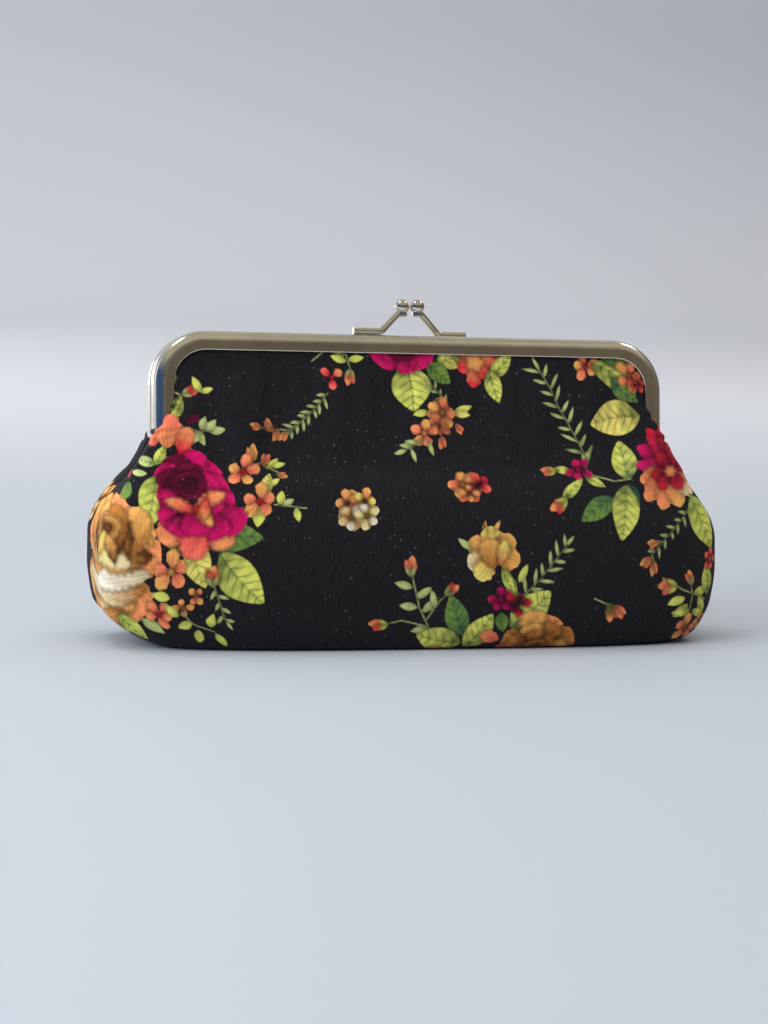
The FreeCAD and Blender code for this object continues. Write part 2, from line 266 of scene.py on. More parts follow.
def slack(side):
    """How a slightly roomy panel settles over its wadding: a cloth simulation on a coarse grid.

    Returns the movement of each grid point, capped, and fading out towards the channel and seams.
    """
    points, across, down = panel_grid(side, SIM_COLUMNS, SIM_ROWS)
    held = pinned(points, across, down)
    rest = points.reshape(-1, 3) * SIM_SCALE
    cloth = new_mesh("settling", rest, grid_faces(*across.shape, side == BACK))
    pins = cloth.vertex_groups.new(name="pins")
    pins.add(np.nonzero(held.ravel())[0].tolist(), 1.0, "REPLACE")
    settings = cloth.modifiers.new("settling", "CLOTH").settings
    settings.quality = 8
    settings.mass = 0.25
    settings.tension_stiffness = settings.compression_stiffness = 25
    settings.shear_stiffness = 12
    settings.bending_stiffness = 1.2
    settings.vertex_group_mass = "pins"
    settings.shrink_min = -ROOM
    settings.use_pressure = True
    settings.uniform_pressure_force = 1.5
    scene = bpy.context.scene
    for frame_number in range(1, SIM_FRAMES + 1):
        scene.frame_set(frame_number)
    settled = cloth.evaluated_get(bpy.context.evaluated_depsgraph_get()).data
    moved = np.empty(len(rest) * 3)
    settled.vertices.foreach_get("co", moved)
    scene.frame_set(1)
    bpy.data.objects.remove(cloth)
    movement = (moved.reshape(-1, 3) / MM - rest).reshape(points.shape) / SIM_SCALE
    length = np.linalg.norm(movement, axis=2, keepdims=True)
    movement *= np.minimum(1, SLACK_LIMIT / np.maximum(length, 1e-6))
    gap = across.max(axis=1, keepdims=True) - np.abs(across)
    fade = np.clip((down - GLUED_TOP) / FADE_TOP, 0, 1) * np.clip((gap - 3) / FADE_SIDE, 0, 1)
    fade *= np.clip(points[..., 2] / FADE_FLOOR, 0, 1)
    return movement * fade[..., None]


def sampled(movement, rows, columns):
    """The movement of a finer grid over the same panel."""
    across = np.linspace(0, movement.shape[1] - 1, columns)
    down = np.linspace(0, movement.shape[0] - 1, rows)
    place = np.arange(movement.shape[0])
    coarse = movement.transpose(1, 2, 0).reshape(-1, movement.shape[0])
    tall = monotone(place, coarse.T, down).reshape(rows, movement.shape[1], 3)
    wide = tall.transpose(1, 0, 2).reshape(movement.shape[1], -1)
    fine = monotone(np.arange(movement.shape[1]), wide, across)
    return fine.reshape(columns, rows, 3).transpose(1, 0, 2)


def settled_panel(side, columns, rows):
    """A panel's grid with the simulated slack in it."""
    grid, across, down = panel_grid(side, columns, rows)
    return grid + sampled(slack(side), *across.shape), across, down


def sheet_piece(name, side, panel):
    """A single sheet: the printed panel."""
    grid, across, down = panel
    piece = new_mesh(name, grid.reshape(-1, 3), grid_faces(*across.shape, side == BACK))
    set_attribute(piece, "cloth", "FLOAT_VECTOR", np.stack([across, down, 0 * down], axis=-1))
    return piece


def inwards(side, panel):
    """The direction from each point of a panel into the bag, smoothed over the neighbours."""
    grid = panel[0]
    normal = -side * np.cross(np.gradient(grid, axis=1), np.gradient(grid, axis=0))
    for _ in range(3):
        padded = np.pad(normal, ((1, 1), (1, 1), (0, 0)), mode="edge")
        normal = padded[:-2, 1:-1] + padded[2:, 1:-1] + padded[1:-1, :-2] + padded[1:-1, 2:] + normal
        normal /= np.linalg.norm(normal, axis=2, keepdims=True)
    return normal


def shell_piece(name, side, panel, insets, margin=0.0, step=3):
    """A closed layer that lies under a panel between two insets: wadding or lining."""
    grid, across, down = panel
    gap = across.max(axis=1, keepdims=True) - np.abs(across)
    thin = np.clip(gap / THINNING, 0.2, 1)[..., None]
    normal = inwards(side, panel)
    skip = round(margin * across.shape[1])
    picked = np.ix_(np.arange(0, len(across), step), np.arange(skip, across.shape[1] - skip, step))
    outer, inner = ((grid + normal * thin * inset)[picked] for inset in insets)
    across, down = across[picked], down[picked]
    count = across.size
    flip = side == BACK
    faces = [grid_faces(*across.shape, flip), grid_faces(*across.shape, not flip) + count]
    index = np.arange(count).reshape(across.shape)
    rim = np.concatenate([index[0, :-1], index[:-1, -1], index[-1, :0:-1], index[:0:-1, 0]])
    following = np.roll(rim, -1)
    walls = np.stack([rim, following, following + count, rim + count], axis=1)
    faces.append(walls[:, ::-1] if flip else walls)
    points = np.concatenate([outer.reshape(-1, 3), inner.reshape(-1, 3)])
    piece = new_mesh(name, points, np.concatenate(faces))
    flat = np.stack([across, down, 0 * down], axis=-1)
    set_attribute(piece, "cloth", "FLOAT_VECTOR", np.stack([flat, flat]))
    return piece


def join_to_frame(piece, side, material, slot, *nodes):
    """Gives the piece its material, bakes its placement into the mesh, and hides the named imported parts.
    """
    piece.data.materials.append(material)
    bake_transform(piece)
    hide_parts(*nodes)


# ---------------------------------------------------------------- the flower print


def ink(red, green, blue):
    """Linear colour of a screen colour given as 0 to 255."""
    parts = np.array((red, green, blue)) / 255
    return np.where(parts <= 0.04045, parts / 12.92, ((parts + 0.055) / 1.055) ** 2.4)


MAGENTA = ink(196, 16, 92)
PLUM = ink(104, 10, 48)
WINE = ink(56, 6, 26)
CRIMSON = ink(206, 34, 52)
SALMON = ink(232, 106, 88)
ORANGE = ink(232, 144, 90)
AMBER = ink(226, 166, 88)
CREAM = ink(222, 202, 158)
WHITE = ink(226, 216, 200)
TAN = ink(182, 116, 54)
BROWN = ink(104, 58, 28)
YELLOW = ink(228, 212, 110)
LIME = ink(206, 208, 98)
PALE = ink(184, 192, 124)
GREEN = ink(106, 134, 60)
MOSS = ink(58, 84, 46)
TEAL = ink(40, 80, 68)
DEEP = ink(20, 38, 24)

FRINGE = 1.6  # how far past its edge a motif's colour is laid
SOFT_EDGE = 0.7


def wave(value):
    return 0.5 + 0.5 * np.sin(value)


class Print:
    """The ink at every point of a panel, and how far inside a motif's edge the point lies.

    Each point also keeps the phase and strength of the fine strokes drawn on its petal or leaf.
    """

    def __init__(self, across, down):
        self.across = across
        self.down = down
        self.ink = np.zeros((len(across), 3))
        self.cover = np.full(len(across), -FRINGE)
        self.strokes = np.zeros((len(across), 3))

    def near(self, x, y, reach):
        """Points round a place, with their offsets to the right and up."""
        close = np.abs(self.across - x) < reach + FRINGE
        close &= np.abs(self.down - y) < reach + FRINGE
        index = np.nonzero(close)[0]
        return index, self.across[index] - x, y - self.down[index]

    def lay(self, index, inside, colour, phase=0.0, strength=0.0):
        """Lays colour inside an outline, and past it where nothing else is nearer.

        Over other ink the edge is soft, with a dark line along it.
        """
        cover = self.cover[index]
        over = cover > 0
        share = np.where(over, np.clip(inside / SOFT_EDGE + 0.5, 0, 1), inside > np.minimum(cover, 0))
        line = np.exp(-((inside / SOFT_EDGE) ** 2)) * np.where(over, 0.45, 0.0)
        drawn = self.ink[index] * (1 - share[:, None]) + colour * share[:, None]
        self.ink[index] = drawn * (1 - line[:, None])
        fields = np.stack([phase + 0 * inside, strength + 0 * inside], axis=1)
        take = share > 0.5
        self.strokes[index[take], :2] = fields[take]
        self.cover[index] = np.maximum(cover, inside)

    def petal(self, x, y, angle, length, width, inner, outer, fullness=1.25, blunt=0.62, bend=0.0):
        """A petal from its base, along angle, shaded from one colour to the other, with streaks."""
        index, right, up = self.near(x, y, length + width)
        turn = math.radians(angle)
        along = right * math.cos(turn) + up * math.sin(turn)
        aside = up * math.cos(turn) - right * math.sin(turn)
        share = np.clip(along / length, 0, 1)
        aside = aside - bend * share**2
        half = width / 2 * np.sin(math.pi * share**fullness) ** blunt
        half = half * (1 + 0.08 * np.sin(along * 3.1 + angle))
        inside = np.minimum(half - np.abs(aside), np.minimum(along + 0.3, length - along))
        patch = 0.22 * wave(aside * 2.6 + along * 1.1 + x) + 0.12 * wave(along * 2.3 + y)
        tone = np.clip(share * 1.3 + patch - 0.35, 0, 1)[:, None]
        colour = inner * (1 - tone) + outer * tone
        light = 0.76 + 0.36 * share + 0.22 * wave(aside * 1.4 + x + 0.7 * along)
        phase = aside * 0.85 + 0.15 * np.sin(along)
        self.lay(index, inside, colour * light[:, None], phase, 0.6 - 0.4 * share)

    def leaf(self, x, y, angle, length, width, light=LIME, dark=MOSS, bend=0.0, veins=5):
        """A pointed leaf from its stalk, lighter on one side of its midrib, with slanting veins."""
        index, right, up = self.near(x, y, length + width)
        turn = math.radians(angle)
        along = right * math.cos(turn) + up * math.sin(turn)
        aside = up * math.cos(turn) - right * math.sin(turn)
        share = np.clip(along / length, 0, 1)
        aside = aside - bend * np.sin(math.pi * share)
        half = width / 2 * np.sin(math.pi * share**0.85) ** 0.85
        inside = np.minimum(half - np.abs(aside), np.minimum(along + 0.2, length - along))
        out = np.abs(aside) / (width / 2)
        shade = np.where(aside > 0, 0.0, 0.30) + 0.75 * np.clip(1 - 2.0 * share, 0, 1)
        shade += 0.30 * wave(along * 1.7 + x + out * 2) - 0.08
        shade += 0.5 * np.clip(1 - np.abs(aside) / 0.5, 0, 1) * (length > 6)
        tone = np.clip(shade, 0, 1)[:, None] * (0.85 if length > 6 else 0.55)
        phase = share * veins - out * 1.3
        strength = (1.0 if length > 6 else 0.35) * np.clip(1.25 - out, 0, 1)
        self.lay(index, inside, 1.25 * light * (1 - tone) + dark * tone, phase, strength)

    def stroke(self, points, width, colour):
        """A thin line through points."""
        points = np.array(points, float)
        for (x0, y0), (x1, y1) in zip(points[:-1], points[1:]):
            length = math.hypot(x1 - x0, y1 - y0)
            index, right, up = self.near((x0 + x1) / 2, (y0 + y1) / 2, length / 2 + width)
            x, y = self.across[index], self.down[index]
            share = np.clip(((x - x0) * (x1 - x0) + (y - y0) * (y1 - y0)) / length**2, 0, 1)
            away = np.hypot(x - x0 - share * (x1 - x0), y - y0 - share * (y1 - y0))
            self.lay(index, width / 2 - away, np.broadcast_to(colour, (len(index), 3)))

    def disc(self, x, y, radius, inner, outer, lobes=0, turn=0.0):
        """A round patch with an optional lobed edge."""
        index, right, up = self.near(x, y, radius * 1.2)
        away = np.hypot(right, up)
        edge = radius * (1 + 0.12 * np.cos(lobes * (np.arctan2(up, right) - turn)) * (lobes > 0))
        tone = np.clip(away / radius, 0, 1)[:, None]
        self.lay(index, edge - away, inner * (1 - tone) + outer * tone)

    def coil(self, x, y, radius, light, dark, turn=0.0):
        """A rose's rolled heart: uneven turns of a dark line round a dark core."""
        index, right, up = self.near(x, y, radius)
        around = np.arctan2(up, right)
        away = np.hypot(right, up * 1.15) * (1 + 0.10 * np.cos(3 * around + turn))
        share = away / radius
        phase = (around + turn) / (2 * math.pi) + 1.7 * share**0.9
        depth = np.clip(1.35 - 1.5 * share, 0, 1) + 0.25 * wave(around * 2 + turn)
        tone = np.clip(depth, 0, 1)[:, None]
        self.lay(index, radius - away, light * (1 - tone) + dark * tone, phase, 1.0)

    # -- whole motifs

    def rose(self, x, y, size, rings, heart, turn=0.0, squeeze=1.0, heart_at=(0, 0), core=0.3):
        """Rings of overlapping petals, from the outside in, round a rolled heart.

        Each ring is how far out its petals reach, their width, and a list of their two colours.
        """
        hx, hy = x + heart_at[0] * size, y - heart_at[1] * size
        for number, (reach, width, colours) in enumerate(rings):
            for place, (inner, outer) in enumerate(colours):
                angle = turn + 360 * (place + 0.5 * (number % 2)) / len(colours)
                spread = math.radians(angle)
                pull = math.hypot(math.cos(spread) * squeeze, math.sin(spread))
                pull *= 1 + 0.07 * math.sin(place * 3.7 + number * 2)
                start = reach * 0.25
                base_x = hx + (x - hx) * reach + math.cos(spread) * start * size * squeeze
                base_y = hy + (y - hy) * reach - math.sin(spread) * start * size
                length = reach * size * pull - start * size
                lean = 14 * math.sin(place * 2.4 + number)
                self.petal(base_x, base_y, angle + lean, length, width * size, inner, outer, 1.7, 0.42)
        light, dark = heart
        self.coil(hx, hy, core * size, light, dark, math.radians(turn))

    def blossom(self, x, y, size, colours, centre, petals=5, turn=0.0):
        """A small open flower of uneven petals."""
        for place in range(petals):
            angle = turn + 360 * place / petals + 9 * math.sin(place * 2.6 + x)
            inner, outer = colours[place % len(colours)]
            spread = math.radians(angle)
            at_x = x + 0.06 * size * math.cos(spread)
            at_y = y - 0.06 * size * math.sin(spread)
            length = 0.46 * size * (1 + 0.16 * math.sin(place * 3.3 + y))
            self.petal(at_x, at_y, angle, length, 0.36 * size, inner, outer, 1.35, 0.62)
        self.disc(x, y, 0.10 * size, centre * 0.7, centre * 0.4)

    def bud(self, x, y, angle, length, colours, calyx=(LIME, GREEN), stem=None):
        """A closed bud on its calyx, with an optional stem to a point."""
        if stem:
            self.stroke([(x, y), stem], 0.5, PALE)
        self.petal(x, y, angle - 8, length, length * 0.52, *colours, 0.9, 0.7)
        self.petal(x, y, angle + 16, length * 0.86, length * 0.34, colours[1], colours[0], 1.0, 0.7)
        if calyx:
            self.leaf(x, y, angle + 30, length * 0.55, length * 0.2, *calyx)
            self.leaf(x, y, angle - 30, length * 0.55, length * 0.2, *calyx)

    def frond(self, points, leaf, width, light=PALE, dark=GREEN, pairs=8, tip=1.0, splay=48):
        """A stem with leaflets set turn by turn on its two sides, smaller towards its tip."""
        points = np.array(points, float)
        self.stroke(points, 0.45, light)
        run = np.concatenate([[0], np.cumsum(np.hypot(*np.diff(points, axis=0).T))])
        for number in range(2 * pairs):
            at = run[-1] * (number + 0.7) / (2 * pairs)
            x, y = np.interp(at, run, points[:, 0]), np.interp(at, run, points[:, 1])
            behind = max(at - 1.0, 0.0)
            x0, y0 = np.interp(behind, run, points[:, 0]), np.interp(behind, run, points[:, 1])
            heading = math.degrees(math.atan2(y0 - y, x - x0))
            size = leaf * (1 - (1 - tip) * number / (2 * pairs)) * (1 + 0.15 * math.sin(number * 2.2))
            angle = heading + (splay + 7 * math.sin(number * 1.7)) * (1 if number % 2 else -1)
            self.leaf(x, y, angle, size, width, light, dark)
        self.leaf(*points[-1], heading, leaf * 0.9 * tip, width, light, dark)


ORANGE_BLOOM = [(SALMON, ORANGE), (ORANGE, AMBER)]
YELLOW_BLOOM = [(ORANGE, AMBER), (AMBER, YELLOW), (AMBER, CREAM), (CREAM, WHITE), (ORANGE, YELLOW)]
WARM_BUD = (SALMON, ORANGE)


def tan_rose(p):
    """The large cream and tan rose that turns round the left end."""
    p.leaf(-92, 78, -72, 11, 9, LIME, GREEN)
    for angle in range(0, 360, 40):
        y = 64 if angle < 180 else 70
        p.petal(-91, y, angle, 15.5, 12, TAN, AMBER if angle % 80 else ORANGE, 1.8, 0.4)
    folds = (
        (-101, 74, -30, 15, 8, TAN, CREAM), (-82, 77, 205, 15, 8, AMBER, CREAM),
        (-104, 70, -18, 17, 8, CREAM, WHITE), (-79, 72, 196, 15, 7.5, TAN, CREAM),
        (-103, 67, -8, 15, 7, TAN, AMBER), (-78.5, 69, 188, 17, 7, CREAM, WHITE),
        (-104, 62.5, -14, 16, 7, AMBER, CREAM), (-78, 64, 190, 14, 7, BROWN, AMBER),
        (-100, 61.5, -24, 17, 6, YELLOW, CREAM), (-99, 78, -24, 13, 6, AMBER, CREAM),
        (-84, 79.5, 200, 12, 5.5, TAN, AMBER),
    )
    for x, y, angle, length, width, inner, outer in folds:
        p.petal(x, y, angle, length, width, inner, outer, 1.2, 0.5, 1.4)
    for x, angle, inner, outer in (
        (-98, 100, TAN, AMBER), (-84, 80, TAN, AMBER), (-95, 86, BROWN, AMBER), (-88, 92, BROWN, TAN),
    ):
        p.petal(x, 65, angle, 14, 8.5, inner, outer, 1.5, 0.45)
    p.coil(-91, 57.5, 4.6, AMBER, BROWN, 2.0)
    p.petal(-94.5, 66, 66, 8, 3, AMBER, YELLOW, 1.2, 0.6)
    p.petal(-88, 67, 108, 8, 3.4, BROWN, AMBER, 1.2, 0.6)
    p.stroke([(-84.5, 56), (-83.5, 60), (-84.5, 64)], 0.7, BROWN)
    p.stroke([(-97, 57), (-97.5, 60.5), (-95.5, 64.5)], 0.7, BROWN)


def left_end(p):
    """The large roses, leaves and small flowers at the left end of the front panel."""
    p.leaf(-76, 42, -103, 15, 8, LIME, GREEN, veins=6)
    p.leaf(-76, 38.5, 158, 6.5, 3.4, PALE, GREEN)
    p.leaf(-76, 38.5, 62, 6.5, 3.2, LIME, GREEN)
    p.leaf(-78.5, 41.5, 178, 6, 2.6, PALE, GREEN)
    p.leaf(-84, 45, -120, 6, 4, GREEN, TEAL)
    p.bud(-85.5, 44, 120, 4.5, (CRIMSON, SALMON), None)
    p.leaf(-64, 61, 8, 17, 9, GREEN, TEAL, bend=1.5)
    p.leaf(-66, 60, -78, 13, 8, YELLOW, GREEN, bend=-1, veins=6)
    p.leaf(-73, 56, -66, 9, 6.5, GREEN, DEEP)
    rosy = (MAGENTA * 0.45, MAGENTA)
    petals = (
        (-66, 46, 52, 12.5, 9, *rosy), (-67, 46, 80, 13, 9, *rosy), (-68, 46, 108, 12, 9, WINE, PLUM),
        (-68, 46, 136, 12, 9, WINE, MAGENTA), (-66, 47, 22, 13, 9.5, *rosy), (-68, 48, 168, 11, 10, *rosy),
        (-67, 50, 198, 11.5, 9, WINE, MAGENTA), (-64, 49, -6, 12, 10, *rosy),
        (-69, 50, -118, 14, 9, CRIMSON, ORANGE), (-62, 51, -70, 13, 9, SALMON, ORANGE),
        (-66, 50, -93, 15.5, 9.5, CRIMSON, SALMON), (-61, 50, -38, 12.5, 10, *rosy),
        (-69, 51, -146, 10, 8.5, *rosy), (-63, 52, -58, 9.5, 9, *rosy), (-69, 52, -112, 8, 8, WINE, MAGENTA),
        (-64, 47.5, -20, 8.5, 8.5, *rosy), (-70, 47, -160, 7, 7.5, *rosy), (-66, 50, -88, 9, 10, *rosy),
        (-65, 46, 40, 8.5, 8, *rosy), (-70, 46, 130, 8.5, 8, WINE, PLUM), (-67, 46, 88, 9, 8, WINE, PLUM),
    )
    for x, y, angle, length, width, inner, outer in petals:
        narrow = 1 - 0.22 * abs(math.cos(math.radians(angle)))
        p.petal(x, y, angle, length * narrow, width * 0.92, inner, outer, 1.8, 0.42)
    p.coil(-67.3, 44, 5.2, PLUM, WINE, 0.6)
    p.petal(-65, 52.5, 152, 10, 3.6, CRIMSON, ORANGE, 1.1, 0.7, 1.2)
    p.petal(-66.5, 51.5, 36, 10.5, 4.2, SALMON, ORANGE, 1.3, 0.7, -1.2)
    p.petal(-66, 50, -52, 7.5, 3.6, CRIMSON, AMBER, 1.2, 0.7)
    p.petal(-62.5, 47.5, -100, 7, 3.0, CRIMSON, ORANGE, 1.2, 0.7)
    p.leaf(-59.5, 63.5, -46, 18, 11, LIME, MOSS, bend=-0.8, veins=7)
    p.bud(-61.2, 72.5, 95, 6, (CRIMSON, ORANGE), (PALE, GREEN))
    p.frond([(-61, 72), (-59.5, 76), (-57.5, 81.5)], 3.2, 1.1, PALE, GREEN, 3)
    tan_rose(p)
    p.leaf(-86, 80, -70, 9, 6, LIME, GREEN)
    p.leaf(-80, 81, -50, 6, 4, PALE, GREEN)
    p.blossom(-73, 68, 10.5, ORANGE_BLOOM, AMBER, 5, 20)
    p.blossom(-75.5, 79.5, 8, [(SALMON, ORANGE)], CRIMSON, 5, 60)
    p.blossom(-69.5, 77.5, 5.5, [(ORANGE, AMBER)], TAN, 4, 10)
    p.blossom(-66, 74.5, 5, ORANGE_BLOOM, TAN, 4, 50)
    p.leaf(-73, 75, 170, 5, 2.8, LIME, GREEN)
    p.stroke([(-69, 79), (-66.5, 83), (-62, 85)], 0.5, PALE)
    spray = ((-67, 82, 200), (-66, 84.5, 240), (-62.5, 83.5, 70), (-62, 85.5, -75), (-70.5, 80, 140))
    for x, y, angle in spray:
        p.leaf(x, y, angle, 4.8, 2.6, LIME, MOSS)
    p.petal(-76, 33, 105, 8.5, 6.5, SALMON, ORANGE, 1.1, 0.5)
    p.petal(-72.5, 33.5, 88, 10, 8, ORANGE, SALMON, 1.2, 0.5)
    p.petal(-69, 35, 70, 8, 5, CRIMSON, ORANGE, 1.1, 0.5)


def left_window(p):
    """Small buds and sprigs beside the frame's left leg."""
    p.leaf(-69.8, 15.5, 96, 5.5, 2.2, LIME, GREEN)
    p.bud(-67.5, 18.5, 30, 5, (CRIMSON, SALMON), (PALE, GREEN), stem=(-71, 17))
    p.leaf(-62.5, 17.5, 115, 5, 2.4, LIME, GREEN)
    p.leaf(-62.5, 17.5, 20, 4, 1.8, LIME, GREEN)
    p.leaf(-71.5, 25.5, 62, 8, 4.6, DEEP, LIME)
    p.petal(-68, 26.5, 25, 5.5, 2.4, WINE, PLUM)
    p.stroke([(-69, 27.5), (-64, 28.5), (-58.5, 28)], 0.5, PALE)
    for angle, start in ((70, -63), (-65, -64), (-120, -63.5), (10, -60.5), (50, -61.5)):
        p.leaf(start, 28.3, angle, 4.6, 2.4, PALE, MOSS)
    p.frond([(-26.5, 17), (-31, 22), (-37.5, 27.5)], 3.2, 0.95, PALE, GREEN, 7)
    p.stroke([(-37.5, 27.5), (-46, 27)], 0.5, PALE)
    spray = ((-42, 27.3, 165), (-41, 27.5, 250), (-38.5, 28, 230), (-43, 27.3, 120), (-46, 27, 175))
    for x, y, angle in spray:
        p.bud(x, y, angle, 3.6, (SALMON, AMBER), None)
    p.blossom(-25, 12.5, 7, [(CRIMSON, SALMON), (SALMON, ORANGE)], CRIMSON, 3, -90)
    p.bud(-19.5, 10, -95, 5, (SALMON, ORANGE), (PALE, GREEN), stem=(-20.5, 6))
    p.leaf(-20, 7.5, 10, 5, 2.2, LIME, GREEN)
    p.leaf(-20.5, 8, 160, 5, 2.4, LIME, GREEN)
    p.leaf(-21, 5.5, 60, 4, 2, PALE, GREEN)
    p.stroke([(-30.5, 8), (-26, 4.5), (-21, 6)], 0.5, PALE)


def left_field(p):
    """Flowers on stalks to the right of the large rose, and the single yellow flower."""
    p.stroke([(-52, 38), (-47, 37), (-41, 40.5)], 0.5, PALE)
    p.bud(-49, 36.5, 96, 5, (ORANGE, AMBER), None)
    p.bud(-46.5, 37.5, 60, 4.2, (ORANGE, SALMON), None)
    p.bud(-42.5, 40.8, 0, 3.2, (SALMON, AMBER), None)
    p.leaf(-45, 38.5, 40, 4.5, 2, LIME, GREEN)
    p.leaf(-44, 38, 10, 4.5, 1.8, LIME, GREEN)
    p.blossom(-52, 39.5, 9, [(SALMON, ORANGE), (ORANGE, AMBER)], CRIMSON, 5, 80)
    p.leaf(-47, 47, 70, 7.5, 3.6, YELLOW, GREEN)
    p.leaf(-45, 44, 35, 4, 1.8, LIME, GREEN)
    p.leaf(-48, 50, -100, 6, 3.6, LIME, GREEN)
    p.blossom(-48, 48.5, 10, [(SALMON, ORANGE), (ORANGE, AMBER)], CRIMSON, 5, 15)
    p.stroke([(-44, 49.5), (-35, 50.5)], 0.5, PALE)
    p.leaf(-42.5, 49.5, 75, 4.2, 2.6, LIME, GREEN)
    p.leaf(-41.5, 49.5, 25, 3.6, 1.8, PALE, GREEN)
    p.leaf(-38, 50.5, -80, 4, 2.2, LIME, GREEN)
    p.disc(-20.8, 50.8, 5.4, TAN, AMBER, 7)
    p.blossom(-23.5, 49, 7.5, [(ORANGE, AMBER)], BROWN, 5, 30)
    p.blossom(-18.5, 48.5, 7.5, [(AMBER, YELLOW), (ORANGE, AMBER)], BROWN, 5, 0)
    p.blossom(-22.5, 53, 7.5, [(AMBER, CREAM), (CREAM, WHITE)], TAN, 5, 200)
    p.blossom(-18, 52.5, 7.5, [(YELLOW, CREAM), (CREAM, WHITE)], TAN, 5, 250)


def middle(p):
    """The half-hidden rose under the bar with its leaves, and the orange cluster below it."""
    p.leaf(6, 8, 20, 11, 6.5, YELLOW, GREEN, veins=4)
    p.leaf(-3, 8.5, -84, 13.5, 11.5, LIME, MOSS, bend=0.6, veins=6)
    p.leaf(3, 8, -40, 9, 5.5, GREEN, MOSS)
    magenta = (PLUM, MAGENTA)
    rings = [(1.0, 0.8, [magenta] * 8), (0.7, 0.6, [(WINE, PLUM), magenta] * 3)]
    p.rose(-4.5, 0.5, 11.0, rings, (PLUM, WINE), 10)
    p.leaf(11, 6, -8, 10, 6, YELLOW, GREEN)
    p.blossom(17.5, 7.5, 12.5, [(ORANGE, CRIMSON), (SALMON, CRIMSON)], ORANGE, 6, 20)
    p.disc(17.5, 7.5, 2.6, AMBER, ORANGE, 5)
    p.leaf(22, 12, 48, 10, 4.6, LIME, MOSS)
    p.leaf(21.5, 9.5, -76, 10, 5, LIME, MOSS)
    p.frond([(8.5, 19.5), (5.5, 16), (4, 14.5)], 2.4, 0.9, PALE, GREEN, 3)
    p.leaf(10.5, 22, 22, 6, 2.4, LIME, GREEN)
    p.leaf(10.5, 22, -5, 5, 2.2, YELLOW, GREEN)
    p.leaf(2.5, 22, 190, 4.5, 2.2, LIME, GREEN)
    p.disc(6.2, 22.6, 3.8, AMBER, ORANGE, 6)
    p.blossom(6.8, 22, 9, ORANGE_BLOOM, AMBER, 5, 80)
    p.blossom(4.8, 26, 6, [(SALMON, ORANGE)], AMBER, 4, 40)
    p.blossom(1, 28, 8, ORANGE_BLOOM, AMBER, 5, 10)
    p.bud(9, 28, 140, 4, WARM_BUD, None)
    p.bud(6.5, 28.5, -95, 4.2, WARM_BUD, None)
    p.bud(11, 25, -60, 3.6, WARM_BUD, None)
    p.stroke([(0, 30), (-4.5, 33)], 0.5, PALE)
    for x, y, angle in ((-1, 30.5, 180), (-2.5, 32, 175), (-4.5, 33, 200), (-3, 32.5, -75), (2, 30.5, -70)):
        p.leaf(x, y, angle, 4.2, 1.5, PALE, GREEN)
    p.disc(12.2, 44, 4.6, ORANGE, SALMON, 6)
    p.blossom(10.8, 43.5, 8.5, [(ORANGE, AMBER), (SALMON, ORANGE)], ORANGE, 5, 100)
    p.blossom(15.5, 43.5, 7.5, [(PLUM, CRIMSON), (CRIMSON, SALMON), (PLUM, MAGENTA)], WINE, 5, 40)
    p.blossom(12.5, 46, 5.5, [(ORANGE, AMBER)], CRIMSON, 4, 0)


